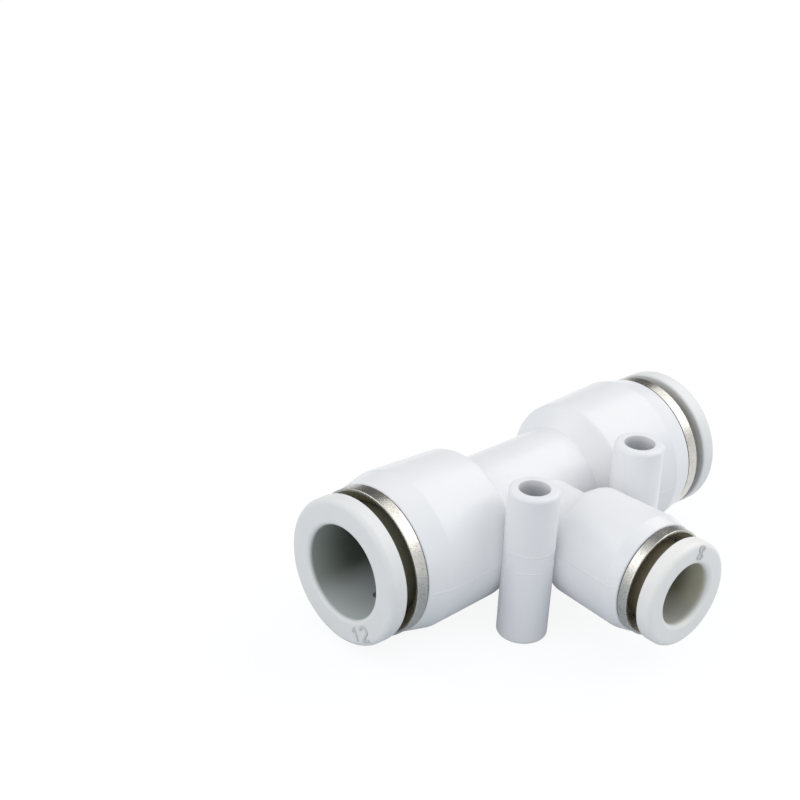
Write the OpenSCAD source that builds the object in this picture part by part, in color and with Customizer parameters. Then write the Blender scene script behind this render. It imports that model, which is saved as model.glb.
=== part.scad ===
// Push-fit reducing tee for plastic tube, in millimetres.
// The two equal run ports lie along X and the smaller branch port points towards -Y.
// The origin lies midway between the two mounting holes, on the plane that the tee rests on.

/* [Run ports] */
// Outside diameter of the tube that a run port takes
run_tube_d = 12; // [10:0.5:14]
// Length over the two run sleeves
run_length = 60.4; // [56:0.2:70]
// How deep the tube goes in, from the sleeve's face to its stop
run_insert_depth = 21.6; // [20:0.1:23]
// Diameter of the flow passage through the run
run_flow_d = 9; // [6:0.1:10]
// Travel of a run sleeve when it is pressed
run_travel = 1.5; // [1:0.05:1.8]
// Thickness of a run sleeve's flange
run_flange_t = 2.4; // [1.8:0.1:3]
// How far a run sleeve's flange stands out beyond its neck
run_flange_overhang = 2.2; // [1.4:0.05:2.4]
// Wall of a run sleeve's neck
run_sleeve_wall = 1.25; // [1:0.05:1.5]
// Wall of a run guide ring's skirt
run_skirt_wall = 0.9; // [0.7:0.05:1.1]
// Length of a run guide ring's skirt inside the body
run_skirt_length = 4; // [3.6:0.1:4.4]
// Height of the run guide ring's collar that shows
run_collar_h = 1.8; // [1.4:0.1:2.2]
// Wall of the body round the mouth of a run port
run_mouth_wall = 0.8; // [0.6:0.05:1.2]
// How much larger the run barrel is than its mouth, on radius
run_taper_rise = 0.75; // [0.3:0.05:1]
// Length of the taper that leads from the run barrel to its mouth
run_taper_length = 3.5; // [2:0.1:4.5]
// Length of a run seal
run_seal_length = 3.1; // [2.8:0.1:3.4]
// Material between the run pocket's floor and the barrel's shoulder
run_shoulder_wall = 3.3; // [2:0.1:4]
// Slope of the run barrel's shoulder, from the axis
run_shoulder_angle = 48; // [35:1:60]
// Wall of the waist round the run's tube seat
run_neck_wall = 1.45; // [1.2:0.05:2]
// Number of teeth on a run lock claw
run_teeth = 12; // [8:1:14]

/* [Branch port] */
// Outside diameter of the tube that the branch port takes
branch_tube_d = 8; // [6:0.5:9]
// Length from the run's axis to the face of the branch sleeve
branch_length = 29.7; // [28.5:0.1:36]
// How deep the tube goes in, from the sleeve's face to its stop
branch_insert_depth = 18; // [17:0.1:19.5]
// Diameter of the flow passage in the branch
branch_flow_d = 5.8; // [4.2:0.1:6.2]
// Travel of the branch sleeve when it is pressed
branch_travel = 1.35; // [1:0.05:1.6]
// Thickness of the branch sleeve's flange
branch_flange_t = 2.2; // [1.6:0.1:2.8]
// How far the branch sleeve's flange stands out beyond its neck
branch_flange_overhang = 1.8; // [1.2:0.05:2.1]
// Wall of the branch sleeve's neck
branch_sleeve_wall = 1.05; // [0.9:0.05:1.3]
// Wall of the branch guide ring's skirt
branch_skirt_wall = 0.65; // [0.55:0.05:0.9]
// Length of the branch guide ring's skirt inside the body
branch_skirt_length = 3.6; // [3.4:0.1:4]
// Height of the branch guide ring's collar that shows
branch_collar_h = 1.45; // [1.2:0.05:1.8]
// Wall of the body round the mouth of the branch port
branch_mouth_wall = 0.85; // [0.6:0.05:1.1]
// How much larger the branch barrel is than its mouth, on radius
branch_taper_rise = 0.4; // [0.2:0.05:0.8]
// Length of the taper that leads from the branch barrel to its mouth
branch_taper_length = 1.8; // [1:0.1:3]
// Length of the branch seal
branch_seal_length = 2.4; // [2.2:0.1:2.8]
// Material between the branch pocket's floor and the barrel's shoulder
branch_shoulder_wall = 1.8; // [1.4:0.1:2.8]
// Slope of the branch barrel's shoulder, from the axis
branch_shoulder_angle = 37; // [32:1:55]
// Wall of the neck round the branch's tube seat
branch_neck_wall = 1.05; // [0.9:0.05:1.5]
// Number of teeth on the branch lock claw
branch_teeth = 8; // [6:1:10]

/* [Mounting tubes] */
// Diameter of the two mounting holes
mount_hole_d = 4; // [3:0.1:4.5]
// Wall of a mounting tube at its ends
mount_tube_wall = 1.25; // [1:0.05:1.6]
// Material between a mounting hole and the branch's pocket
mount_branch_wall = 1.3; // [1:0.05:2]
// How far a mounting hole stays clear of the run barrels' shoulders
mount_run_clearance = 0; // [0:0.05:1]

/* [Fits] */
// Clearance on radius between a tube and the sleeve that guides it
tube_clearance = 0.15; // [0.05:0.05:0.3]
// Clearance on radius between a tube and its seat in the body
tube_seat_clearance = 0.08; // [0.04:0.02:0.14]
// Clearance on radius between a sleeve's neck and the guide ring's lip
lip_clearance = 0.15; // [0.1:0.05:0.3]
// Gap that is left under a sleeve's flange when it is pressed home
stop_gap = 0.08; // [0.05:0.01:0.2]
// Height of the bead that holds a sleeve behind the ring's lip
bead_h = 0.35; // [0.2:0.05:0.4]
// Clearance on radius round the bead
bead_clearance = 0.25; // [0.2:0.05:0.4]
// Gap on radius between the inner pieces and the body's pocket
pocket_gap = 0.03; // [0.02:0.01:0.06]
// Thickness of a lock claw's steel
claw_t = 0.35; // [0.25:0.05:0.4]
// How far a claw's teeth reach inside the tube's surface
claw_bite = 0.15; // [0.1:0.05:0.25]
// Slope of a claw's teeth, from its rim's plane
claw_angle = 43; // [38:1:48]
// How far a pressed sleeve pushes the claw's teeth inwards
claw_push = 0.35; // [0.2:0.05:0.5]
// How far a seal's lip reaches inside the tube's surface
seal_squeeze = 0.25; // [0.15:0.05:0.35]
// Draft of the moulded outside, in degrees
draft = 2.1; // [1:0.1:3]
// Width of the slots that let a sleeve spring into its ring
sleeve_slot_w = 1.2; // [0.8:0.1:1.5]

/* [Hidden] */
$fn = 96;

body_white = [0.93, 0.94, 0.96];
sleeve_grey = [0.87, 0.88, 0.87];
nickel = [0.74, 0.71, 0.66];
spring_steel = [0.78, 0.78, 0.76];
seat_grey = [0.8, 0.81, 0.8];
seal_black = [0.09, 0.09, 0.1];

// Small details that all the ports share
arc_steps = 6;        // flats in a rounded corner
fine_edge = 0.12;     // rounding of small edges
seal_edge = 0.18;     // rounding of a seal's edges
soft_edge = 0.3;      // rounding of moulded edges
face_round = 0.7;     // rounding of a flange's front edge
mouth_round = 0.6;    // rounding where the tube goes in
shoulder_fillet = 0.2;// hollow rounding where a shoulder meets the waist
shoulder_round = 1.2; // rounding where a shoulder meets its barrel
taper_round = 1;      // rounding where a barrel's taper starts
tube_draft_share = 0.12; // a mounting tube's draft, as a share of the other drafts
hole_lead = 0.06;     // broken edge of a mounting hole
tube_round = 0.5;     // rounding of a mounting tube's ends
run_collar_inset = 0.1;    // the ring's collar is this much smaller than the mouth
branch_collar_inset = 0.2; // and on the branch
collar_lip = 0.3;     // width of the collar's front lip
lip_land = 1;         // length of the ring's lip bore
lip_depth = 1.3;      // how far the ring's funnel reaches below its front
lip_break = 0.3;      // broken edge between the funnel and the lip bore
bead_play = 0.1;      // play between the bead and the lip
bead_land = 0.4;      // length of the bead's full height
bead_ramp = 0.8;      // length of the ramp below the bead
nose_wall = 0.6;      // wall at the sleeve's nose
slot_web = 4.4;       // uncut neck between a slot's end and the flange
run_slot_turn = -5;   // where the run sleeves' slots have come to stand, in degrees
branch_slot_turn = 9; // and the branch sleeve's
rim_overlap = 0.2;    // the claw's rim reaches this far inside the skirt
tooth_slot_w = 0.9;   // width of the slots between teeth
tooth_relief = 1.4;   // a slot's end hole is this much wider than the slot
tooth_root = 0.8;     // uncut metal between a slot's end and the bend
tooth_bevel = 0.15;   // bevel behind a tooth's edge
guide_clearance = 0.2;// clearance on radius between a tube and the claw seat
guide_land = 0.7;     // length of the claw seat's guiding bore
flex_room = 0.9;      // space below the teeth for them to bend
end_play = 0.05;      // play along the axis between the inner pieces
seat_lead = 0.4;      // lead-in of the tube's seat in the body
cut = 1;              // how far a cutting solid runs past what it cuts

// One port's own sizes, in the order that the functions below read them
RUN = [
    run_tube_d / 2, run_length / 2, run_insert_depth, run_flow_d / 2, run_travel,
    run_flange_t, run_flange_overhang, run_sleeve_wall, run_skirt_wall, run_skirt_length,
    run_collar_h, run_mouth_wall, run_taper_rise, run_taper_length, run_seal_length,
    run_shoulder_wall, run_shoulder_angle, run_neck_wall, run_teeth, run_slot_turn,
    run_collar_inset
];
BRANCH = [
    branch_tube_d / 2, branch_length, branch_insert_depth, branch_flow_d / 2, branch_travel,
    branch_flange_t, branch_flange_overhang, branch_sleeve_wall, branch_skirt_wall,
    branch_skirt_length, branch_collar_h, branch_mouth_wall, branch_taper_rise,
    branch_taper_length, branch_seal_length, branch_shoulder_wall, branch_shoulder_angle,
    branch_neck_wall, branch_teeth, branch_slot_turn, branch_collar_inset
];

// A port's radii, from the tube outwards
function tube_r(p) = p[0];
function flow_r(p) = p[3];
function bore_r(p) = tube_r(p) + tube_clearance;
function neck_r(p) = bore_r(p) + p[7];
function flange_r(p) = neck_r(p) + p[6];
function lip_r(p) = neck_r(p) + lip_clearance;
function bead_r(p) = neck_r(p) + bead_h;
function chamber_r(p) = bead_r(p) + bead_clearance;
function skirt_r(p) = chamber_r(p) + p[8];
function pocket_r(p) = skirt_r(p) + pocket_gap;
function mouth_r(p) = pocket_r(p) + p[11];
function collar_r(p) = mouth_r(p) - p[20];
function barrel_r(p) = mouth_r(p) + p[12];
function tube_seat_r(p) = tube_r(p) + tube_seat_clearance;
function waist_r(p) = tube_seat_r(p) + p[17];
function tip_r(p) = tube_r(p) - claw_bite;
function bend_r(p) = chamber_r(p) - rim_overlap;
function guide_r(p) = tube_r(p) + guide_clearance;

// A port's stations along its axis, as distances from the crossing, from the face inwards
function face_z(p) = p[1];
function flange_z(p) = face_z(p) - p[5];
function collar_z(p) = flange_z(p) - p[4] - stop_gap;
function mouth_z(p) = collar_z(p) - p[10];
function lip_z(p) = collar_z(p) - lip_depth;
function catch_z(p) = lip_z(p) - lip_land;
function skirt_z(p) = mouth_z(p) - p[9];
function rim_z(p) = skirt_z(p) - claw_t;
function tooth_drop(p) = (bend_r(p) - tip_r(p)) * tan(claw_angle);
function seat_z(p) = rim_z(p) - tooth_drop(p) - flex_room - guide_land;
function pocket_z(p) = seat_z(p) - p[14];
function stop_z(p) = face_z(p) - p[2];
function shoulder_z(p) = pocket_z(p) - p[15];
function taper_z(p) = mouth_z(p) - p[13];
function shoulder_r(p) = barrel_r(p) - (taper_z(p) - shoulder_z(p)) * tan(draft);
function shoulder_foot_z(p) = shoulder_z(p) - (shoulder_r(p) - waist_r(p)) / tan(p[16]);
// The nose stands where a pressed sleeve bends the teeth by claw_push
function nose_z(p) = skirt_z(p) - (bend_r(p) - bore_r(p) - nose_wall) * tan(claw_angle)
    - claw_push + p[4];

// Where the axes cross, above the plane that the tee rests on
axis_h = barrel_r(RUN);
mount_x = pocket_r(BRANCH) + mount_branch_wall + mount_hole_d / 2;
mount_offset = shoulder_r(RUN) + mount_run_clearance + mount_hole_d / 2;
mount_tube_r = mount_hole_d / 2 + mount_tube_wall;

// A closed outline of [x, y, corner radius] points, with each corner swept round
function unit(v) = v / norm(v);
function flat(q) = [q[0], q[1]];
function corner(a, b, c) =
    b[2] == 0 ? [flat(b)] :
    let (
        u = unit(flat(a) - flat(b)),
        v = unit(flat(c) - flat(b)),
        half = acos(u * v) / 2,
        centre = flat(b) + unit(u + v) * b[2] / sin(half),
        start = flat(b) + u * b[2] / tan(half) - centre,
        turn = (u[0] * v[1] - u[1] * v[0] > 0 ? -1 : 1) * (180 - 2 * half),
        from = atan2(start[1], start[0])
    )
    [for (i = [0 : arc_steps])
        centre + b[2] * [cos(from + turn * i / arc_steps), sin(from + turn * i / arc_steps)]];
function rounded(pts) =
    let (n = len(pts))
    [for (i = [0 : n - 1]) each corner(pts[(i + n - 1) % n], pts[i], pts[(i + 1) % n])];
// The same outline with its mirror image below, for what runs through both run ports
function reversed(pts) = [for (i = [len(pts) - 1 : -1 : 0]) [pts[i][0], -pts[i][1], pts[i][2]]];
function both_ways(pts) = concat(reversed(pts), pts);

module turned(pts) {
    rotate_extrude() polygon(rounded(pts));
}

// Each port's pieces are drawn along +Z from the crossing and then laid along its axis
module at_run_left() {
    translate([0, mount_offset, axis_h]) rotate([0, -90, 0]) children();
}
module at_run_right() {
    translate([0, mount_offset, axis_h]) rotate([0, 90, 0]) children();
}
module at_branch() {
    translate([0, mount_offset, axis_h]) rotate([90, 0, 0]) children();
}

// Outside of a barrel, from its waist to its mouth
function barrel_edge(p) = [
    [waist_r(p), shoulder_foot_z(p), shoulder_fillet],
    [shoulder_r(p), shoulder_z(p), shoulder_round],
    [barrel_r(p), taper_z(p), taper_round],
    [mouth_r(p), mouth_z(p), soft_edge],
    [0, mouth_z(p), 0]
];
// Inside of a port, from the flow passage to the pocket's mouth
function socket_edge(p) = [
    [flow_r(p), stop_z(p), 0],
    [tube_seat_r(p), stop_z(p), fine_edge],
    [tube_seat_r(p), pocket_z(p) - seat_lead, 0],
    [tube_seat_r(p) + seat_lead, pocket_z(p), 0],
    [pocket_r(p), pocket_z(p), fine_edge],
    [pocket_r(p), mouth_z(p) + cut, 0],
    [0, mouth_z(p) + cut, 0]
];

// A mounting tube, thickest by a little draft at the height of the run's axis
module mounting_tube() {
    waist = mount_tube_r + axis_h * tan(draft) * tube_draft_share;
    turned([
        [0, 0, 0],
        [mount_tube_r, 0, tube_round],
        [waist, axis_h, 0],
        [mount_tube_r, 2 * axis_h, tube_round],
        [0, 2 * axis_h, 0]
    ]);
}

// A mounting hole with a broken edge at both ends
module mounting_hole() {
    radius = mount_hole_d / 2;
    top = 2 * axis_h;
    turned([
        [0, -cut, 0],
        [radius + hole_lead + cut, -cut, 0],
        [radius, hole_lead, fine_edge],
        [radius, top - hole_lead, fine_edge],
        [radius + hole_lead + cut, top + cut, 0],
        [0, top + cut, 0]
    ]);
}

module body() {
    color(body_white) difference() {
        union() {
            at_run_right() turned(both_ways(barrel_edge(RUN)));
            at_branch() turned(concat([[0, 0, 0], [waist_r(BRANCH), 0, 0]], barrel_edge(BRANCH)));
            for (side = [-1, 1]) translate([side * mount_x, 0, 0]) mounting_tube();
        }
        at_run_right() turned(both_ways(socket_edge(RUN)));
        at_branch() turned(concat([[0, 0, 0], [flow_r(BRANCH), 0, 0]], socket_edge(BRANCH)));
        for (side = [-1, 1]) translate([side * mount_x, 0, 0]) mounting_hole();
    }
}

// Flanged sleeve that frees the tube when it is pressed. Its neck is slotted so that the
// bead can spring in behind the ring's lip
module release_sleeve(p) {
    bead_z = catch_z(p) - bead_play;
    slot_z = flange_z(p) - slot_web;
    difference() {
        turned([
            [bore_r(p), nose_z(p), 0],
            [bore_r(p) + nose_wall, nose_z(p), fine_edge],
            [neck_r(p), bead_z - bead_land - bead_ramp, 0],
            [bead_r(p), bead_z - bead_land, fine_edge],
            [bead_r(p), bead_z, fine_edge],
            [neck_r(p), bead_z, 0],
            [neck_r(p), flange_z(p), fine_edge],
            [flange_r(p), flange_z(p), soft_edge],
            [flange_r(p), face_z(p), face_round],
            [bore_r(p), face_z(p), mouth_round]
        ]);
        for (i = [0 : 3]) rotate(p[19] + 90 * i) {
            translate([0, -sleeve_slot_w / 2, nose_z(p) - cut])
                cube([bead_r(p) + cut, sleeve_slot_w, slot_z - nose_z(p) + cut]);
            translate([0, 0, slot_z]) rotate([0, 90, 0])
                cylinder(d = sleeve_slot_w, h = bead_r(p) + cut, $fn = 24);
        }
    }
}

// Turned ring pressed into the body: its collar shows, its lip holds the sleeve's bead
// and its skirt clamps the claw's rim
module guide_ring(p) {
    turned([
        [chamber_r(p), skirt_z(p), 0],
        [skirt_r(p), skirt_z(p), fine_edge],
        [skirt_r(p), mouth_z(p), 0],
        [collar_r(p), mouth_z(p), fine_edge],
        [collar_r(p), collar_z(p), fine_edge],
        [collar_r(p) - collar_lip, collar_z(p), fine_edge],
        [lip_r(p) + lip_break, lip_z(p), lip_break],
        [lip_r(p), lip_z(p) - lip_break, 0],
        [lip_r(p), catch_z(p), 0],
        [chamber_r(p), catch_z(p), 0]
    ]);
}

// Stamped spring ring with teeth that bend inwards and bite into the tube
module lock_claw(p) {
    top = skirt_z(p);
    lean = tan(claw_angle);
    under = claw_t / cos(claw_angle);
    tip_z = top - tooth_drop(p);
    step = 360 / p[18];
    slot_r = bend_r(p) - tooth_root;
    difference() {
        rotate_extrude() polygon([
            [skirt_r(p), rim_z(p)],
            [skirt_r(p), top],
            [bend_r(p), top],
            [tip_r(p), tip_z],
            [tip_r(p) + tooth_bevel, tip_z + tooth_bevel * lean - under],
            [bend_r(p) + (under - claw_t) / lean, rim_z(p)]
        ]);
        for (i = [0 : p[18] - 1]) rotate(step * i) {
            translate([0, -tooth_slot_w / 2, tip_z - cut])
                cube([slot_r, tooth_slot_w, tooth_drop(p) + 2 * cut]);
            translate([slot_r, 0, tip_z - cut])
                cylinder(d = tooth_slot_w * tooth_relief, h = tooth_drop(p) + 2 * cut, $fn = 24);
        }
    }
}

// Collar that backs the claw's rim, gives its teeth room to bend and guides the tube
module claw_seat(p) {
    turned([
        [guide_r(p), seat_z(p) + end_play, fine_edge],
        [skirt_r(p), seat_z(p) + end_play, fine_edge],
        [skirt_r(p), rim_z(p), fine_edge],
        [chamber_r(p), rim_z(p), 0],
        [guide_r(p), seat_z(p) + guide_land, soft_edge]
    ]);
}

// Rubber ring with a groove below, so that the air there presses its inner lip on the tube.
// The shares place the lip and the groove between the tube and the pocket, and between
// the floor and the claw seat
module seal(p) {
    low = pocket_z(p) + end_play;
    inner = tube_r(p);
    depth = skirt_r(p) - inner;
    height = seat_z(p) - low;
    turned([
        [inner + 0.75 * depth, low, seal_edge],
        [inner + depth, low, seal_edge],
        [inner + depth, low + height, seal_edge],
        [inner + guide_clearance, low + height, seal_edge],
        [inner - seal_squeeze, low + 0.4 * height, seal_edge],
        [inner, low + 0.1 * height, seal_edge],
        [inner + 0.3 * depth, low + 0.15 * height, seal_edge],
        [inner + 0.55 * depth, low + 0.5 * height, seal_edge]
    ]);
}

module run_left_release_sleeve() { color(sleeve_grey) at_run_left() release_sleeve(RUN); }
module run_left_guide_ring() { color(nickel) at_run_left() guide_ring(RUN); }
module run_left_lock_claw() { color(spring_steel) at_run_left() lock_claw(RUN); }
module run_left_claw_seat() { color(seat_grey) at_run_left() claw_seat(RUN); }
module run_left_seal() { color(seal_black) at_run_left() seal(RUN); }

module run_right_release_sleeve() { color(sleeve_grey) at_run_right() release_sleeve(RUN); }
module run_right_guide_ring() { color(nickel) at_run_right() guide_ring(RUN); }
module run_right_lock_claw() { color(spring_steel) at_run_right() lock_claw(RUN); }
module run_right_claw_seat() { color(seat_grey) at_run_right() claw_seat(RUN); }
module run_right_seal() { color(seal_black) at_run_right() seal(RUN); }

module branch_release_sleeve() { color(sleeve_grey) at_branch() release_sleeve(BRANCH); }
module branch_guide_ring() { color(nickel) at_branch() guide_ring(BRANCH); }
module branch_lock_claw() { color(spring_steel) at_branch() lock_claw(BRANCH); }
module branch_claw_seat() { color(seat_grey) at_branch() claw_seat(BRANCH); }
module branch_seal() { color(seal_black) at_branch() seal(BRANCH); }

body();
run_left_release_sleeve();
run_left_guide_ring();
run_left_lock_claw();
run_left_claw_seat();
run_left_seal();
run_right_release_sleeve();
run_right_guide_ring();
run_right_lock_claw();
run_right_claw_seat();
run_right_seal();
branch_release_sleeve();
branch_guide_ring();
branch_lock_claw();
branch_claw_seat();
branch_seal();
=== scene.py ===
"""Looks of a push-fit reducing tee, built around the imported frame.

Lengths are metres in the frame's own axes: X along the run, -Y the way the branch points,
and Z up from the plane that the tee rests on.
"""
import math

import bpy
import numpy as np
from mathutils import Matrix, Vector


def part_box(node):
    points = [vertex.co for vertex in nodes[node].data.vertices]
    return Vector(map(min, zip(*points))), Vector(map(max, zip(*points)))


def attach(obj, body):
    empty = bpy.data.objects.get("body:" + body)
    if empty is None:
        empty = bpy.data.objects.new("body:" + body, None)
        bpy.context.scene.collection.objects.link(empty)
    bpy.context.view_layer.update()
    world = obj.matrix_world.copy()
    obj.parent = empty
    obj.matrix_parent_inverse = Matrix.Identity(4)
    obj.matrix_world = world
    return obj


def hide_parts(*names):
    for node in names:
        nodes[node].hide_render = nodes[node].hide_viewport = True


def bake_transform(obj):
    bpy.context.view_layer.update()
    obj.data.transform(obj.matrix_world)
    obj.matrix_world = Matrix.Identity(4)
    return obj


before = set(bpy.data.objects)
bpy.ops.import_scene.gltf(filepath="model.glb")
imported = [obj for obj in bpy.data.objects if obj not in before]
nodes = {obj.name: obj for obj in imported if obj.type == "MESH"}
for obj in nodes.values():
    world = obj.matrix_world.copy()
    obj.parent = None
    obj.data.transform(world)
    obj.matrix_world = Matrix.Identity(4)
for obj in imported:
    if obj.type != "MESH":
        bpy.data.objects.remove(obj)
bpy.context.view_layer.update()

MM = 0.001
PORT_KIND = {"run_left": "run", "run_right": "run", "branch": "branch"}

# The crossing of the run's and the branch's axes, read from the sleeves
sleeve_low, sleeve_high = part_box("run_left_release_sleeve")
crossing = Vector((0, (sleeve_low.y + sleeve_high.y) / 2, (sleeve_low.z + sleeve_high.z) / 2))

# Which way each port points
PORT_OUT = {
    "run_left": Vector((-1, 0, 0)),
    "run_right": Vector((1, 0, 0)),
    "branch": Vector((0, -1, 0)),
}

# Sizes and colours of the two kinds of port. Radii come first, then stations, which are
# distances from the crossing, then the number's place and height, all in millimetres. The
# plastic turns to the bore's painted shade over the depths of bore_shade_entry. This shade goes
# from side to deep over those of bore_shade_fade, and is painted lighter along the bottom,
# to bore_bottom_light
SIZES = {
    "run": {
        "bore": 6.15, "neck": 7.4, "collar": 9.63,
        "face": 30.2, "flange_back": 27.8, "mouth": 24.42, "claw_bend": (20.27, 17.52),
        "number": "12", "number_r": 7.95, "number_h": 1.8,
        "plastic": ((0.775, 0.78, 0.775), (0.83, 0.83, 0.82)),
        # neck_shade is painted shade, brown, on the sleeve's neck in the recess behind the
        # flange
        "neck_shade": (0.27, 0.26, 0.19),
        # Painted shade down the bore: darker at the sides and deep in, lighter along the bottom
        "bore_side_shade": (0.385, 0.42, 0.385), "bore_deep_shade": (0.115, 0.13, 0.107),
        "bore_bottom_light": (0.62, 0.66, 0.66), "bore_shade_entry": (0.0, 0.7), "bore_shade_fade": (0.0, 7.5),
    },
    "branch": {
        "bore": 4.15, "neck": 5.2, "collar": 7.13,
        "face": 29.7, "flange_back": 27.5, "mouth": 24.62, "claw_bend": (20.92, 18.67),
        "number": "8", "number_r": 5.75, "number_h": 1.6,
        # The branch's plastic is painted lighter than the run's, as painted light on its face
        "plastic": ((0.84, 0.83, 0.81), (0.89, 0.88, 0.86)),
        "neck_shade": (0.28, 0.24, 0.155),
        # The same painted shade down the branch's bore
        "bore_side_shade": (0.56, 0.55, 0.43), "bore_deep_shade": (0.26, 0.25, 0.19),
        "bore_bottom_light": (0.52, 0.52, 0.47), "bore_shade_entry": (0.3, 1.2), "bore_shade_fade": (2.3, 4.7),
    },
}


def in_scene(name, data):
    """A new object for the data, in the scene."""
    thing = bpy.data.objects.new(name, data)
    bpy.context.scene.collection.objects.link(thing)
    return thing


# Camera at the photograph's viewing angle

PHOTO_YAW = -43.511        # degrees about Z from looking along +Y
PHOTO_ELEVATION = 26.696   # degrees above the horizon
PHOTO_ROLL = 3.156         # degrees about the view axis
PHOTO_LENS = 79.88         # mm
PHOTO_SENSOR = 36          # mm
CAMERA_FROM_CROSSING = Vector((-152.79, -137.93, 116.91)) * MM
CAMERA_SEES = (0.01, 10)   # metres, nearest and furthest


def photo_camera():
    """A level camera turned by the yaw, tipped down by the elevation, then rolled."""
    data = bpy.data.cameras.new("photo_camera")
    data.lens = PHOTO_LENS
    data.sensor_width = PHOTO_SENSOR
    data.clip_start, data.clip_end = CAMERA_SEES
    camera = in_scene("photo_camera", data)
    turn = Matrix.Rotation(math.radians(PHOTO_YAW), 4, "Z")
    tip = Matrix.Rotation(math.radians(90 - PHOTO_ELEVATION), 4, "X")
    roll = Matrix.Rotation(math.radians(PHOTO_ROLL), 4, "Z")
    place = Matrix.Translation(crossing + CAMERA_FROM_CROSSING)
    camera.matrix_world = place @ turn @ tip @ roll
    bpy.context.scene.camera = camera


# Node helpers

def new_material(name):
    """An empty node material, its node tree and its output node."""
    material = bpy.data.materials.new(name)
    material.use_nodes = True
    tree = material.node_tree
    tree.nodes.clear()
    return material, tree, tree.nodes.new("ShaderNodeOutputMaterial")


def add(tree, kind, settings=None, **sockets):
    """One node with its settings, and with each named socket given a value or a link."""
    node = tree.nodes.new(kind)
    for name, value in (settings or {}).items():
        setattr(node, name, value)
    for name, value in sockets.items():
        plug(tree, node.inputs[name.replace("_", " ")], value)
    return node


def plug(tree, socket, value):
    """Links an output socket to an input, or writes a plain value there."""
    if isinstance(value, bpy.types.NodeSocket):
        tree.links.new(value, socket)
    elif isinstance(value, tuple) and len(value) == 3 and socket.type == "RGBA":
        socket.default_value = (*value, 1)
    else:
        socket.default_value = value


def calc(tree, operation, first, second=0.0, third=0.0, clamp=False):
    """A Math node's result."""
    node = tree.nodes.new("ShaderNodeMath")
    node.operation = operation
    node.use_clamp = clamp
    for socket, value in zip(node.inputs, (first, second, third)):
        plug(tree, socket, value)
    return node.outputs[0]


def ramp(tree, value, low, high):
    """0 below low, 1 above high and a smooth step between; low may be above high."""
    node = add(tree, "ShaderNodeMapRange", {"interpolation_type": "SMOOTHSTEP"})
    for name, number in (("Value", value), ("From Min", low), ("From Max", high),
                         ("To Min", 0.0), ("To Max", 1.0)):
        plug(tree, node.inputs[name], number)
    return node.outputs["Result"]


def band(tree, value, edge, limits):
    """A ramp between two limits that count from an edge."""
    return ramp(tree, value, edge + limits[0], edge + limits[1])


def blend_colour(tree, share, first, second):
    """The second colour laid over the first by the share."""
    node = tree.nodes.new("ShaderNodeMix")
    node.data_type = "RGBA"
    plug(tree, node.inputs["Factor"], share)
    for socket, value in zip([s for s in node.inputs if s.type == "RGBA"], (first, second)):
        plug(tree, socket, value)
    return next(s for s in node.outputs if s.type == "RGBA")


def noise(tree, place, scale, detail=2.0, roughness=0.5):
    """Noise of about one bump per 1 / scale metres, from 0 to 1."""
    node = add(tree, "ShaderNodeTexNoise", Vector=place, Scale=scale, Detail=detail,
               Roughness=roughness)
    return node.outputs["Fac"]


def bump(tree, height, distance, strength=1.0, **under):
    """A surface normal from heights of 0 to 1 that stand for distance metres."""
    node = add(tree, "ShaderNodeBump", Height=height, Distance=distance, Strength=strength,
               **under)
    return node.outputs["Normal"]


def object_place(tree):
    """The point's place in the frame, in metres."""
    return tree.nodes.new("ShaderNodeTexCoord").outputs["Object"]


def place_parts(tree):
    """The three coordinates of the point's place."""
    split = tree.nodes.new("ShaderNodeSeparateXYZ")
    tree.links.new(object_place(tree), split.inputs[0])
    return split.outputs


def length_of(tree, first, second):
    """The length of a vector from its two parts."""
    squares = (calc(tree, "MULTIPLY", part, part) for part in (first, second))
    return calc(tree, "SQRT", calc(tree, "ADD", *squares))


def seen_rays(tree):
    """Whether the camera sees the point, and whether metal or glass shows it."""
    path = tree.nodes.new("ShaderNodeLightPath")
    mirrored = calc(tree, "MAXIMUM", path.outputs["Is Glossy Ray"],
                    path.outputs["Is Transmission Ray"])
    return path.outputs["Is Camera Ray"], mirrored


def surface(material, tree, output, **sockets):
    """The material, closed with one Principled shader."""
    shader = add(tree, "ShaderNodeBsdfPrincipled", **sockets)
    tree.links.new(shader.outputs[0], output.inputs["Surface"])
    return material


# Studio: pale floor, white room and soft boxes

WHITE = (1, 1, 1)
FLOOR_HALF = 2.0        # half the floor's side, in metres
FLOOR_DROP = 0.00002    # how far it lies under the tee, in metres
FLOOR_PAPER = (0.575, 0.615, 0.66)     # colour of the floor as light sees it
FLOOR_WHITE = 0.8       # share of glow in the floor that the camera sees
# For what metal mirrors, the floor's glow is painted light: dim to the left, where the tee's
# shade falls, and full to the right
FLOOR_MIRRORED = (0.14, 1.0)     # the same share where metal mirrors it, left and right
FLOOR_TURN = (0.010, 0.030)      # from where to where in X it changes over
FLOOR_GLOW = 1.12       # strength of that glow
ROOM_LIGHT = 0.7        # the room's light on everything
ROOM_TINT = (0.94, 0.97, 1)      # and its colour
DIM_CORNER = (42, 24)   # azimuth and elevation of the room's dim corner, in degrees
DIM_HEART = 14          # degrees from its middle where it is dimmest
DIM_EDGE = 60           # and where it ends
DIM_SHARE = 0.85        # how much of the mirrored light it loses


def floor_share(tree):
    """The share of glow in the floor, for the camera and for what metal mirrors. For what metal
    mirrors it is painted light, low to the left and full to the right.
    """
    seen, mirrored = seen_rays(tree)
    left, right = FLOOR_MIRRORED
    share = calc(tree, "MULTIPLY_ADD", ramp(tree, place_parts(tree)["X"], *FLOOR_TURN),
                 right - left, left)
    return calc(tree, "MULTIPLY_ADD", seen, FLOOR_WHITE,
                calc(tree, "MULTIPLY", mirrored, share))


def room_way(azimuth, elevation):
    """The unit vector at an azimuth from +X and an elevation, in degrees."""
    around, up = math.radians(azimuth), math.radians(elevation)
    return Vector((math.cos(up) * math.cos(around), math.cos(up) * math.sin(around),
                   math.sin(up)))


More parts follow.
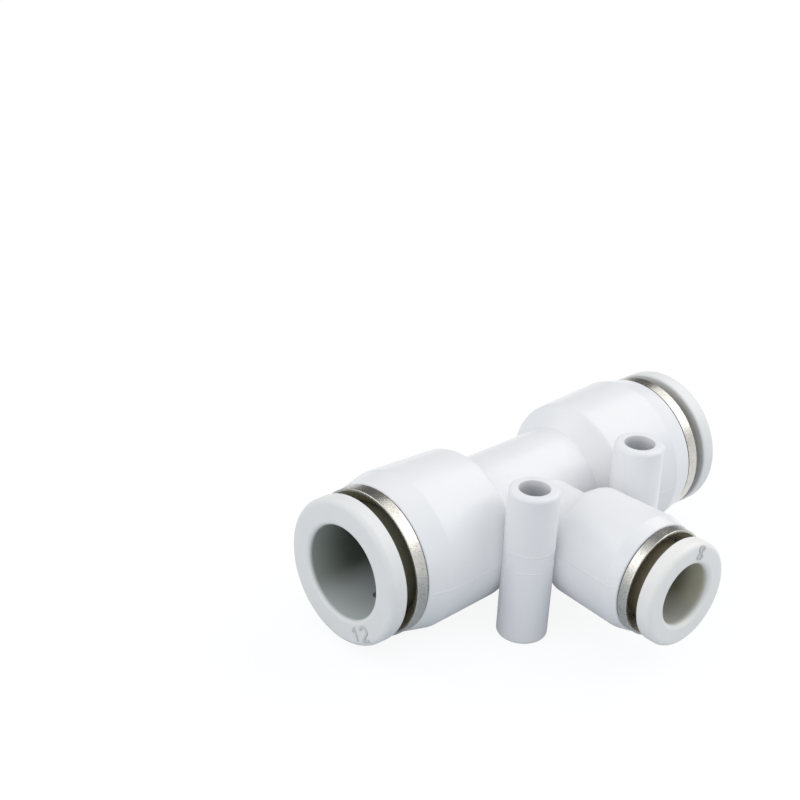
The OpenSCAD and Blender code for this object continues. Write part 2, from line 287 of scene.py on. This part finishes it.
def studio_world():
    """A white room, plain white where it is seen, with one dim corner for the metal."""
    world = bpy.data.worlds.new("white_room")
    world.use_nodes = True
    tree = world.node_tree
    tree.nodes.clear()
    output = tree.nodes.new("ShaderNodeOutputWorld")
    way = tree.nodes.new("ShaderNodeTexCoord").outputs["Generated"]
    near = tree.nodes.new("ShaderNodeVectorMath")
    near.operation = "DOT_PRODUCT"
    tree.links.new(way, near.inputs[0])
    near.inputs[1].default_value = room_way(*DIM_CORNER)
    dim = ramp(tree, near.outputs["Value"], math.cos(math.radians(DIM_EDGE)),
               math.cos(math.radians(DIM_HEART)))
    seen, mirrored = seen_rays(tree)
    shade = calc(tree, "MULTIPLY", dim, mirrored)
    light = add(tree, "ShaderNodeBackground", Color=ROOM_TINT, Strength=ROOM_LIGHT)
    white = add(tree, "ShaderNodeBackground", Color=WHITE,
                Strength=calc(tree, "MULTIPLY_ADD", shade, -DIM_SHARE, 1.0))
    mix = add(tree, "ShaderNodeMixShader", Fac=calc(tree, "MAXIMUM", seen, mirrored))
    tree.links.new(light.outputs[0], mix.inputs[1])
    tree.links.new(white.outputs[0], mix.inputs[2])
    tree.links.new(mix.outputs[0], output.inputs["Surface"])
    bpy.context.scene.world = world


def studio_floor():
    """A wide pale floor, white to the camera, which keeps a share of the tee's shadow."""
    mesh = bpy.data.meshes.new("studio_floor")
    corners = [(-1, -1), (1, -1), (1, 1), (-1, 1)]
    mesh.from_pydata([(x * FLOOR_HALF, y * FLOOR_HALF, -FLOOR_DROP) for x, y in corners],
                     [], [(0, 1, 2, 3)])
    material, tree, output = new_material("pale_floor")
    paper = add(tree, "ShaderNodeBsdfDiffuse", Color=FLOOR_PAPER)
    glow = add(tree, "ShaderNodeEmission", Color=WHITE, Strength=FLOOR_GLOW)
    mix = add(tree, "ShaderNodeMixShader", Fac=floor_share(tree))
    tree.links.new(paper.outputs[0], mix.inputs[1])
    tree.links.new(glow.outputs[0], mix.inputs[2])
    tree.links.new(mix.outputs[0], output.inputs["Surface"])
    mesh.materials.append(material)
    in_scene("studio_floor", mesh)


LAMP_DISTANCE = 0.6                 # metres from the frame's origin
LAMP_AIM = Vector((0, 0, 0.01))     # metres
LAMP_TINT = (1, 0.985, 0.965)
# Azimuth and elevation of each lamp, its width and height in metres, and its watts
LAMPS = {
    "right_box": (-12, 45, 0.75, 0.44, 1.6),
    "back_left_box": (132, 42, 0.36, 0.28, 0.42),
    "left_fill": (180, 25, 0.4, 0.3, 0.5),
    "front_fill": (-90, 25, 0.4, 0.3, 0.12),
}


def soft_box(name, place, width, height, power):
    """A rectangular area lamp at place that faces the tee, in metres and watts."""
    data = bpy.data.lights.new(name, "AREA")
    data.shape = "RECTANGLE"
    data.size, data.size_y = width, height
    data.energy = power
    data.color = LAMP_TINT
    turn = (LAMP_AIM - place).to_track_quat("-Z", "Y").to_matrix().to_4x4()
    in_scene(name, data).matrix_world = Matrix.Translation(place) @ turn


def studio_lights():
    """A broad box over the right of the tee, a smaller one behind its left, and weak fills."""
    for name, (azimuth, elevation, *size_and_power) in LAMPS.items():
        soft_box(name, room_way(azimuth, elevation) * LAMP_DISTANCE, *size_and_power)


# Shader groups that several finishes share

def group_tree(name, inputs, outputs):
    """An empty shader group with its sockets, and its input and output nodes."""
    tree = bpy.data.node_groups.new(name, "ShaderNodeTree")
    for label, kind in inputs:
        tree.interface.new_socket(label, in_out="INPUT", socket_type=kind)
    for label, kind in outputs:
        tree.interface.new_socket(label, in_out="OUTPUT", socket_type=kind)
    return tree, tree.nodes.new("NodeGroupInput"), tree.nodes.new("NodeGroupOutput")


def port_place_group(kind):
    """Where a point lies on a port, in millimetres.

    Station is its distance from the crossing along the port's axis, radius its distance
    from that axis, and height the sine of its angle above the axis. Both run ports share one
    group, because it takes |x|.
    """
    tree, _, out = group_tree(kind + "_port_place", [], [
        ("Station", "NodeSocketFloat"), ("Radius", "NodeSocketFloat"),
        ("Height", "NodeSocketFloat")])
    x, y, z = (calc(tree, "MULTIPLY", part, 1 / MM) for part in place_parts(tree))
    up = calc(tree, "SUBTRACT", z, crossing.z / MM)
    back = calc(tree, "SUBTRACT", y, crossing.y / MM)
    if kind == "branch":
        along, across = calc(tree, "MULTIPLY", back, -1.0), x
    else:
        along, across = calc(tree, "ABSOLUTE", x), back
    radius = length_of(tree, across, up)
    tree.links.new(along, out.inputs["Station"])
    tree.links.new(radius, out.inputs["Radius"])
    tree.links.new(calc(tree, "DIVIDE", up, radius), out.inputs["Height"])
    return tree


PLACE_GROUPS = {kind: port_place_group(kind) for kind in SIZES}


def port_place(tree, kind):
    """The station, radius and height sockets of the run's or the branch's place group."""
    node = tree.nodes.new("ShaderNodeGroup")
    node.node_tree = PLACE_GROUPS[kind]
    return node.outputs["Station"], node.outputs["Radius"], node.outputs["Height"]


MOTTLE_SCALE, FLOW_SCALE, GRAIN_SCALE = 260, 180, 9000      # bumps in a metre
FLOW_HEIGHT, GRAIN_HEIGHT = 0.00006, 0.00001                # metres


def moulded_skin_group():
    """Fine skin of a moulded plastic: a soft mottle for colour, and a normal.

    The height is a long flow wave plus a tight grain, both from noise on the place.
    """
    tree, given, out = group_tree("moulded_skin", [
        ("Grain", "NodeSocketFloat")], [
        ("Mottle", "NodeSocketFloat"), ("Normal", "NodeSocketVector")])
    place = object_place(tree)
    tree.links.new(noise(tree, place, MOTTLE_SCALE, 3.0, 0.55), out.inputs["Mottle"])
    flow = bump(tree, noise(tree, place, FLOW_SCALE, 1.0), FLOW_HEIGHT)
    grain = bump(tree, noise(tree, place, GRAIN_SCALE, 2.0, 0.6), GRAIN_HEIGHT,
                 given.outputs["Grain"], Normal=flow)
    tree.links.new(grain, out.inputs["Normal"])
    return tree


SKIN_GROUP = moulded_skin_group()


def moulded_skin(tree, grain):
    """The mottle and normal sockets of the moulded skin."""
    node = tree.nodes.new("ShaderNodeGroup")
    node.node_tree = SKIN_GROUP
    node.inputs["Grain"].default_value = grain
    return node.outputs["Mottle"], node.outputs["Normal"]


# Finishes. A pair of colours is the darker and the lighter end of a mottle

TUBE_X, TUBE_R, HOLE_R = 9.78, 3.28, 2.0    # the mounting tubes, in mm
BODY_WHITE = (0.825, 0.83, 0.845), (0.86, 0.863, 0.875)
# Painted shade down the mounting holes
HOLE_SHADE = (0.63, 0.64, 0.665)
# Darker end of the mottled painted shade behind the flanges, with grime spots
GRIME_AND_SHADE = (0.10, 0.09, 0.06)
NICKEL = (0.47, 0.46, 0.43), (0.66, 0.65, 0.62)
NICKEL_PIT = (0.32, 0.31, 0.27)
# Painted shade, brown, on the guide ring's recessed funnel
FUNNEL_SHADE_BROWN = (0.22, 0.19, 0.13), (0.42, 0.38, 0.27)
# Painted shadow line where the guide ring meets the body's mouth
SEAM_SHADOW = (0.03, 0.03, 0.03)
STEEL = (0.58, 0.58, 0.57), (0.72, 0.72, 0.71)
SEAT_GREY = (0.62, 0.63, 0.60), (0.70, 0.71, 0.68)
SEAL_BLACK = (0.02, 0.02, 0.022), (0.045, 0.045, 0.048)
# Painted shade on the size numbers' strokes, darkest at their foot
NUMBER_SHADED_TOP = (0.58, 0.59, 0.59), (0.64, 0.65, 0.65)
NUMBER_SHADED_FOOT = (0.40, 0.41, 0.41)

# Bands over which one colour goes over to another, in mm from an edge, unless said
HOLE_WALL = (0.1 * MM, 0.02 * MM)    # over the mounting hole's radius, in metres
HOLE_DEPTH = (-0.1 * MM, -1.2 * MM)  # from the mounting tube's end, in metres
BORE_WALL = (0.3, 0.05)              # over the port's bore
BORE_BOTTOM = (-0.5, -1.0)           # heights on the port, from its sides to its bottom
NECK_WALL = (0.5, 0.1)               # over the sleeve's neck
BEHIND_FLANGE = (-0.02, -0.2)        # from the flange's back
OVER_MOUTH = (-0.3, 0)               # from the body's mouth
FUNNEL_WALL = (-0.28, -0.4)          # from the guide ring's collar inwards
FUNNEL_FOOT = (0, 0.1)               # from the body's mouth
SEAM_FOOT = (0.2, 0.08)              # from the body's mouth
SEAM_WALL = (-0.5, -0.4)             # from the guide ring's collar
PIT_EDGE = (0.52, 0.68)              # of the noise that makes the pits
NUMBER_EDGE = (0.02, 0.1)            # from the sleeve's face

# Noise scales in bumps per metre, heights in metres, and the spread and least of roughness
PIT_SCALE, STAIN_SCALE, GRIME_SCALE, STEEL_SCALE = 5200, 900, 4000, 3500
PIT_HEIGHT, PIT_STRENGTH = 0.00003, 0.6
STEEL_HEIGHT, STEEL_STRENGTH = 0.00001, 0.5
GRAIN = {"body": 0.35, "sleeve": 0.6, "number": 0.6, "seat": 0.8, "seal": 1.0}
ROUGHNESS = {"body": (0.12, 0.26), "sleeve": (0.1, 0.38), "number": (0.1, 0.4),
             "ring": (0.22, 0.16), "steel": (0.2, 0.2), "seat": (0.1, 0.45),
             "seal": (0.2, 0.4)}
# Part of the painted shade: where shade is painted, the funnel and the seam lose this much of
# their metal
DULLED = 0.7                         # how much less a metal the funnel and the seam are


def body_white():
    """Satin-gloss white moulding with a faint cool tint, and painted shade down the mounting
    holes.
    """
    material, tree, output = new_material("body_white")
    mottle, normal = moulded_skin(tree, GRAIN["body"])
    x, y, z = place_parts(tree)
    # Painted shade on the hole's wall, deepening down from the tube's end
    across = calc(tree, "SUBTRACT", calc(tree, "ABSOLUTE", x), TUBE_X * MM)
    wall = band(tree, length_of(tree, across, y), HOLE_R * MM, HOLE_WALL)
    from_middle = calc(tree, "ABSOLUTE", calc(tree, "SUBTRACT", z, crossing.z))
    down = band(tree, from_middle, crossing.z, HOLE_DEPTH)
    colour = blend_colour(tree, calc(tree, "MULTIPLY", wall, down),
                          blend_colour(tree, mottle, *BODY_WHITE), HOLE_SHADE)
    return surface(material, tree, output, Base_Color=colour, Normal=normal,
                   Roughness=calc(tree, "MULTIPLY_ADD", mottle, *ROUGHNESS["body"]))


def sleeve_grey(kind):
    """Light grey acetal, with painted shade down its bore that is painted lighter along the
    bottom, and mottled brown painted shade behind its flange."""
    size = SIZES[kind]
    material, tree, output = new_material(kind + "_sleeve_grey")
    station, radius, height = port_place(tree, kind)
    mottle, normal = moulded_skin(tree, GRAIN["sleeve"])
    colour = blend_colour(tree, mottle, *size["plastic"])
    inside = band(tree, radius, size["bore"], BORE_WALL)
    depth = calc(tree, "SUBTRACT", size["face"], station)
    # Painted shade down the bore, deeper with depth and painted lighter along the bottom
    painted_shade = blend_colour(tree, ramp(tree, depth, *size["bore_shade_fade"]), size["bore_side_shade"],
                        size["bore_deep_shade"])
    painted_shade = blend_colour(tree, ramp(tree, height, *BORE_BOTTOM), painted_shade, size["bore_bottom_light"])
    entry = calc(tree, "MULTIPLY", inside, ramp(tree, depth, *size["bore_shade_entry"]))
    colour = blend_colour(tree, entry, colour, painted_shade)
    # Painted shade, mottled brown, on the neck in the recess between the flange and the mouth
    neck = band(tree, radius, size["neck"], NECK_WALL)
    behind = calc(tree, "MULTIPLY", band(tree, station, size["flange_back"], BEHIND_FLANGE),
                  band(tree, station, size["mouth"], OVER_MOUTH))
    recess_shade = calc(tree, "SUBTRACT", calc(tree, "MULTIPLY", neck, behind), inside, clamp=True)
    spots = noise(tree, object_place(tree), GRIME_SCALE, 3.0, 0.7)
    colour = blend_colour(tree, recess_shade, colour,
                          blend_colour(tree, spots, size["neck_shade"], GRIME_AND_SHADE))
    return surface(material, tree, output, Base_Color=colour, Normal=normal,
                   Roughness=calc(tree, "MULTIPLY_ADD", mottle, *ROUGHNESS["sleeve"]))


def ring_nickel(kind):
    """Nickel over turned brass with pitted grain, with brown painted shade on the funnel and a
    painted shadow line at the seam to the body.
    """
    mouth, collar = SIZES[kind]["mouth"], SIZES[kind]["collar"]
    material, tree, output = new_material(kind + "_ring_nickel")
    station, radius, _ = port_place(tree, kind)
    place = object_place(tree)
    pits = noise(tree, place, PIT_SCALE, 4.0, 0.7)
    bright = blend_colour(tree, noise(tree, place, STAIN_SCALE, 3.0, 0.6), *NICKEL)
    bright = blend_colour(tree, ramp(tree, pits, *PIT_EDGE), bright, NICKEL_PIT)
    # Painted shade, brown, over the funnel inside the collar
    funnel = calc(tree, "MULTIPLY", band(tree, radius, collar, FUNNEL_WALL),
                  band(tree, station, mouth, FUNNEL_FOOT))
    colour = blend_colour(tree, funnel, bright, blend_colour(tree, pits, *FUNNEL_SHADE_BROWN))
    # Painted shadow line on the ring just over the body's mouth
    seam = calc(tree, "MULTIPLY", band(tree, station, mouth, SEAM_FOOT),
                band(tree, radius, collar, SEAM_WALL))
    colour = blend_colour(tree, seam, colour, SEAM_SHADOW)
    painted_shade = calc(tree, "MULTIPLY", calc(tree, "MAXIMUM", funnel, seam), DULLED)
    return surface(material, tree, output, Base_Color=colour,
                   Metallic=calc(tree, "SUBTRACT", 1.0, painted_shade),
                   Roughness=calc(tree, "MULTIPLY_ADD", pits, *ROUGHNESS["ring"]),
                   Normal=bump(tree, pits, PIT_HEIGHT, PIT_STRENGTH))


def claw_steel():
    """Bright stamped stainless strip with fine rolling marks."""
    material, tree, output = new_material("claw_steel")
    marks = noise(tree, object_place(tree), STEEL_SCALE, 3.0, 0.6)
    return surface(material, tree, output, Base_Color=blend_colour(tree, marks, *STEEL),
                   Metallic=1.0,
                   Roughness=calc(tree, "MULTIPLY_ADD", marks, *ROUGHNESS["steel"]),
                   Normal=bump(tree, marks, STEEL_HEIGHT, STEEL_STRENGTH))


def seat_acetal():
    """Plain grey acetal of the claw seats."""
    material, tree, output = new_material("seat_acetal")
    mottle, normal = moulded_skin(tree, GRAIN["seat"])
    return surface(material, tree, output, Base_Color=blend_colour(tree, mottle, *SEAT_GREY),
                   Roughness=calc(tree, "MULTIPLY_ADD", mottle, *ROUGHNESS["seat"]),
                   Normal=normal)


def seal_nitrile():
    """Black nitrile rubber with a greasy film."""
    material, tree, output = new_material("seal_nitrile")
    mottle, normal = moulded_skin(tree, GRAIN["seal"])
    return surface(material, tree, output, Base_Color=blend_colour(tree, mottle, *SEAL_BLACK),
                   Roughness=calc(tree, "MULTIPLY_ADD", mottle, *ROUGHNESS["seal"]),
                   Normal=normal)


def number_shaded_grey(kind):
    """The sleeves' plastic on the strokes, with painted shade: darker than the face, and
    darkest at the foot of each stroke.
    """
    face = SIZES[kind]["face"]
    material, tree, output = new_material(kind + "_number_shaded_grey")
    station, _, _ = port_place(tree, kind)
    mottle, normal = moulded_skin(tree, GRAIN["number"])
    # Painted shade, darkest at the strokes' foot
    colour = blend_colour(tree, band(tree, station, face, NUMBER_EDGE), NUMBER_SHADED_FOOT,
                          blend_colour(tree, mottle, *NUMBER_SHADED_TOP))
    return surface(material, tree, output, Base_Color=colour, Normal=normal,
                   Roughness=calc(tree, "MULTIPLY_ADD", mottle, *ROUGHNESS["number"]))


FINISHES = {
    "body": body_white(), "steel": claw_steel(), "seat": seat_acetal(), "seal": seal_nitrile(),
    "run_sleeve": sleeve_grey("run"), "branch_sleeve": sleeve_grey("branch"),
    "run_ring": ring_nickel("run"), "branch_ring": ring_nickel("branch"),
    "run_number": number_shaded_grey("run"), "branch_number": number_shaded_grey("branch"),
}


def dress(node, finish):
    """Puts a finish on a carried-over node."""
    nodes[node].data.materials.clear()
    nodes[node].data.materials.append(FINISHES[finish])


def dress_nodes():
    """Gives every carried-over node its finish."""
    dress("body", "body")
    for port, kind in PORT_KIND.items():
        dress(port + "_release_sleeve", kind + "_sleeve")
        dress(port + "_guide_ring", kind + "_ring")
        dress(port + "_lock_claw", "steel")
        dress(port + "_claw_seat", "seat")
        dress(port + "_seal", "seal")


# Lock claws copied with their corners merged

SAME_PLACE = 8     # decimals of a metre to which two corners agree when they are one
SHARP_EDGE = 35    # degrees between the faces at a sharp edge


def bending_claw(port):
    """A copy of the CAD lock claw that takes its place.

    It is the CAD claw with its corners merged, shaded smooth with edges sharper than
    SHARP_EDGE kept sharp, and the CAD claw is hidden.
    """
    source = nodes[port + "_lock_claw"].data
    corners = np.empty(len(source.vertices) * 3)
    source.vertices.foreach_get("co", corners)
    corners = corners.reshape(-1, 3)
    _, kept, merged = np.unique(np.round(corners, SAME_PLACE), axis=0, return_index=True,
                                return_inverse=True)
    loops = np.empty(len(source.loops), np.int32)
    source.loops.foreach_get("vertex_index", loops)
    faces = merged.reshape(-1)[loops].reshape(-1, 3)
    mesh = bpy.data.meshes.new(port + "_bending_claw")
    mesh.from_pydata(corners[kept].tolist(), [], faces.tolist())
    mesh.polygons.foreach_set("use_smooth", [True] * len(mesh.polygons))
    mesh.set_sharp_from_angle(angle=math.radians(SHARP_EDGE))
    mesh.materials.append(FINISHES["steel"])
    piece = in_scene(mesh.name, mesh)
    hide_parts(port + "_lock_claw")
    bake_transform(piece)


# Beads carried along a path

BEAD_SIDES = 10


def unit_rows(rows):
    """Each row scaled to length one."""
    return rows / np.linalg.norm(rows, axis=1, keepdims=True)


def bead_grid(path, normals, half_width, half_height):
    """Rings of an elliptic bead along a path that lies on a surface.

    With unit tangent t, surface normal n and side s = t x n at a point p, the ring there is
    p + e (half_width cos a s + half_height sin a n) for a over a full turn. The factor
    e = sqrt(1 - (1 - d / half_width)^2) rounds the ends off, where d is the distance from
    the nearer end and at most half_width.
    """
    steps = np.linalg.norm(np.diff(path, axis=0), axis=1)
    along = np.concatenate([[0], np.cumsum(steps)])
    near_end = np.minimum(np.minimum(along, along[-1] - along), half_width)
    shrink = np.sqrt(np.maximum(1 - (1 - near_end / half_width) ** 2, 0))
    tangent = unit_rows(np.gradient(path, axis=0))
    side = unit_rows(np.cross(tangent, normals))
    angle = np.arange(BEAD_SIDES) * 2 * math.pi / BEAD_SIDES
    across = side[:, None, :] * (half_width * np.cos(angle))[None, :, None]
    up = normals[:, None, :] * (half_height * np.sin(angle))[None, :, None]
    return path[:, None, :] + shrink[:, None, None] * (across + up)


def bead_faces(rings, first):
    """Quads between neighbouring rings, and triangles to one point at either end."""
    ring = np.arange(BEAD_SIDES)
    turn = np.roll(ring, -1)
    row = np.arange(rings - 1)[:, None] * BEAD_SIDES + first + 1
    quads = np.stack([row + ring, row + BEAD_SIDES + ring, row + BEAD_SIDES + turn, row + turn],
                     axis=-1).reshape(-1, 4)
    last = first + 1 + rings * BEAD_SIDES
    top = last - BEAD_SIDES
    start = np.stack([np.full(BEAD_SIDES, first), first + 1 + ring, first + 1 + turn], axis=-1)
    end = np.stack([np.full(BEAD_SIDES, last), top + turn, top + ring], axis=-1)
    return quads.tolist() + start.tolist() + end.tolist()


def beads(name, strokes, half_width, half_height, body, finish):
    """One piece of several beads; each stroke is a path and its surface normals."""
    points, faces, first = [], [], 0
    for path, normals in strokes:
        grid = bead_grid(path, normals, half_width, half_height)[1:-1]
        rings = len(grid)
        points.append(np.vstack([path[:1], grid.reshape(-1, 3), path[-1:]]))
        faces += bead_faces(rings, first)
        first += rings * BEAD_SIDES + 2
    mesh = bpy.data.meshes.new(name)
    mesh.from_pydata(np.vstack(points).tolist(), [], faces)
    mesh.polygons.foreach_set("use_smooth", [True] * len(mesh.polygons))
    mesh.materials.append(FINISHES[finish])
    piece = in_scene(name, mesh)
    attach(piece, body)


# Size numbers moulded on the sleeves' faces

STROKE_STEP = 0.05    # spacing of a stroke's points, in heights of the digit
NUMBER_LINE = 0.2     # half the width of a stroke, in mm
NUMBER_RISE = 0.12    # how far a stroke stands proud, in mm
# Where each stands, in degrees from its face's right, anticlockwise as seen from outside
NUMBER_ANGLE = {"run_left": -60, "run_right": -120, "branch": 73.5}


def finely(corners):
    """Points at even steps along straight lines between the corners."""
    corners = np.array(corners, float)
    parts = []
    for a, b in zip(corners[:-1], corners[1:]):
        count = max(int(np.linalg.norm(b - a) / STROKE_STEP), 2)
        parts.append(a + (b - a) * np.linspace(0, 1, count, endpoint=False)[:, None])
    return np.vstack(parts + [corners[-1:]])


def digit_strokes(digit):
    """A digit's strokes on a square of height 1 about its middle.

    One is a flag and an upright. Two is an arc of 215 degrees, a straight lead down to the
    lower left and a base line. Eight is x = 0.3 sin 2t, y = 0.5 cos t for t over a full
    turn.
    """
    if digit == "1":
        return [finely([(-0.24, 0.22), (0.06, 0.5), (0.06, -0.5)])]
    if digit == "2":
        turn = np.radians(np.linspace(165, -50, 24))
        bow = np.stack([0.34 * np.cos(turn), 0.2 + 0.3 * np.sin(turn)], axis=1)
        return [finely(np.vstack([bow, [(-0.38, -0.5), (0.4, -0.5)]]))]
    turn = np.linspace(0.0, 2 * math.pi, 61)
    return [np.stack([0.3 * np.sin(2 * turn), 0.5 * np.cos(turn)], axis=1)]


def size_number(port):
    """The tube size on a sleeve's face, its foot outwards."""
    kind, out = PORT_KIND[port], PORT_OUT[port]
    size, angle = SIZES[kind], math.radians(NUMBER_ANGLE[port])
    right = (-out).cross(Vector((0, 0, 1)))
    radial = math.cos(angle) * right + math.sin(angle) * Vector((0, 0, 1))
    up = -radial
    across = up.cross(out)
    middle = np.array(crossing + out * size["face"] * MM + radial * size["number_r"] * MM)
    height = size["number_h"] * MM
    spread = 0.5 * (len(size["number"]) - 1)
    strokes = []
    for place, digit in zip(np.linspace(-spread, spread, len(size["number"])), size["number"]):
        for flat in digit_strokes(digit):
            path = middle + height * ((flat[:, :1] + place) * np.array(across)
                                      + flat[:, 1:] * np.array(up))
            strokes.append((path, np.tile(np.array(out), (len(path), 1))))
    beads(port + "_size_number", strokes, NUMBER_LINE * MM, NUMBER_RISE * MM,
          port + "_sleeve", kind + "_number")


# Parting line of the mould, along the middle height of the body

LINE_WIDTH = 0.09           # half the width of the line, in mm
LINE_RISE = 0.04            # how far it stands proud, in mm
LINE_STEP = 0.25            # spacing of its points, in mm
CORNER_POINTS = 7           # points on a rounded corner
TUBE_POINTS = 40            # points on an arc round a mounting tube
BACK_LINE = (0.05, 24.1)    # stations between which it runs along the run's back, in mm
FRONT_LINE = (12.7, 24.1)   # and along the run's front, beyond the mounting tubes
FRONT_HEIGHT = -0.6         # its height over the axes along the run's front, in mm
BRANCH_HEIGHT = 1.2         # and along the branch
# Its arcs round a mounting tube, each a height over the axes in mm and two angles in degrees
TUBE_ARCS = [(2.4, 25, -132), (0, 30, -132)]
# Outside of the run and the branch as (station, radius, corner rounding) in mm
RUN_OUTSIDE = [(0, 7.53, 0), (7.95, 7.53, 0.2), (10.25, 10.089, 1.2), (20.92, 10.48, 1),
               (24.1, 9.80, 0)]
BRANCH_OUTSIDE = [(13.7, 7.397, 0), (22.82, 7.73, 1), (24.3, 7.40, 0)]


def rounded(outline):
    """The outline's points with each corner replaced by an arc tangent to both its sides.

    For a corner of half angle h and rounding r, the arc's centre lies r / sin h along the
    bisector, and it starts and ends r / tan h from the corner.
    """
    spots = np.array([(station, radius) for station, radius, _ in outline], float)
    points = [spots[:1]]
    for before, corner, after, (_, _, size) in zip(spots, spots[1:], spots[2:], outline[1:]):
        back, ahead = unit_rows(np.array([before - corner, after - corner]))
        half = math.acos(back @ ahead) / 2
        bisector = (back + ahead) / np.linalg.norm(back + ahead)
        centre = corner + bisector * size / math.sin(half)
        first, last = (corner + way * size / math.tan(half) - centre for way in (back, ahead))
        share = np.linspace(0, 1, CORNER_POINTS)[:, None]
        chord = first * (1 - share) + last * share
        points.append(centre + unit_rows(chord) * size)
    return np.vstack(points + [spots[-1:]])


def evenly(points, step):
    """The points' polyline at even steps."""
    along = np.concatenate([[0], np.cumsum(np.linalg.norm(np.diff(points, axis=0), axis=1))])
    places = np.linspace(0, along[-1], max(int(along[-1] / step), 4))
    return np.stack([np.interp(places, along, column) for column in points.T], axis=1)


def line_on_run(side_x, side_y, height, first, last):
    """Path and normals along a run barrel's side, at a height over the axis.

    At station s the surface has radius R(s), so the path is
    (s, sqrt(R^2 - height^2), height) and its normal (0, sqrt(R^2 - height^2), height) / R.
    """
    outline = evenly(rounded(RUN_OUTSIDE), LINE_STEP)
    outline = outline[(outline[:, 0] >= first) & (outline[:, 0] <= last)]
    station, radius = outline.T
    reach = np.sqrt(radius ** 2 - height ** 2)
    level = np.full_like(reach, height)
    path = np.stack([side_x * station, side_y * reach, level], axis=1)
    normals = unit_rows(np.stack([np.zeros_like(reach), side_y * reach, level], axis=1))
    return path, normals


def line_on_branch(side_x, height):
    """The same along the branch, with X and Y changed over."""
    station, radius = evenly(rounded(BRANCH_OUTSIDE), LINE_STEP).T
    reach = np.sqrt(radius ** 2 - height ** 2)
    level = np.full_like(reach, height)
    path = np.stack([side_x * reach, -station, level], axis=1)
    normals = unit_rows(np.stack([side_x * reach, np.zeros_like(reach), level], axis=1))
    return path, normals


def line_on_tube(side_x, height, first, last):
    """An arc round a mounting tube between two angles from the outward X, in degrees.

    The path is the tube's axis plus TUBE_R (cos a, sin a), and its normal (cos a, sin a).
    """
    angle = np.radians(np.linspace(first, last, TUBE_POINTS))
    normals = np.stack([side_x * np.cos(angle), np.sin(angle), 0 * angle], axis=1)
    middle = np.array([side_x * TUBE_X, -crossing.y / MM, height])
    return middle + TUBE_R * normals, normals


def parting_line():
    """The flash line of the two mould halves, which steps up at the tubes and the branch."""
    strokes = [line_on_run(side, 1, 0, *BACK_LINE) for side in (1, -1)]
    for side in (-1, 1):
        strokes += [line_on_run(side, -1, FRONT_HEIGHT, *FRONT_LINE),
                    line_on_branch(side, BRANCH_HEIGHT)]
        strokes += [line_on_tube(side, *arc) for arc in TUBE_ARCS]
    placed = [(path * MM + np.array(crossing), normals) for path, normals in strokes]
    beads("body_parting_line", placed, LINE_WIDTH * MM, LINE_RISE * MM, "fitting",
          "body")


photo_camera()
studio_world()
studio_floor()
studio_lights()
dress_nodes()
for port_name in PORT_KIND:
    bending_claw(port_name)
for port_name in PORT_KIND:
    size_number(port_name)
parting_line()

bpy.context.scene.view_settings.view_transform = "Standard"
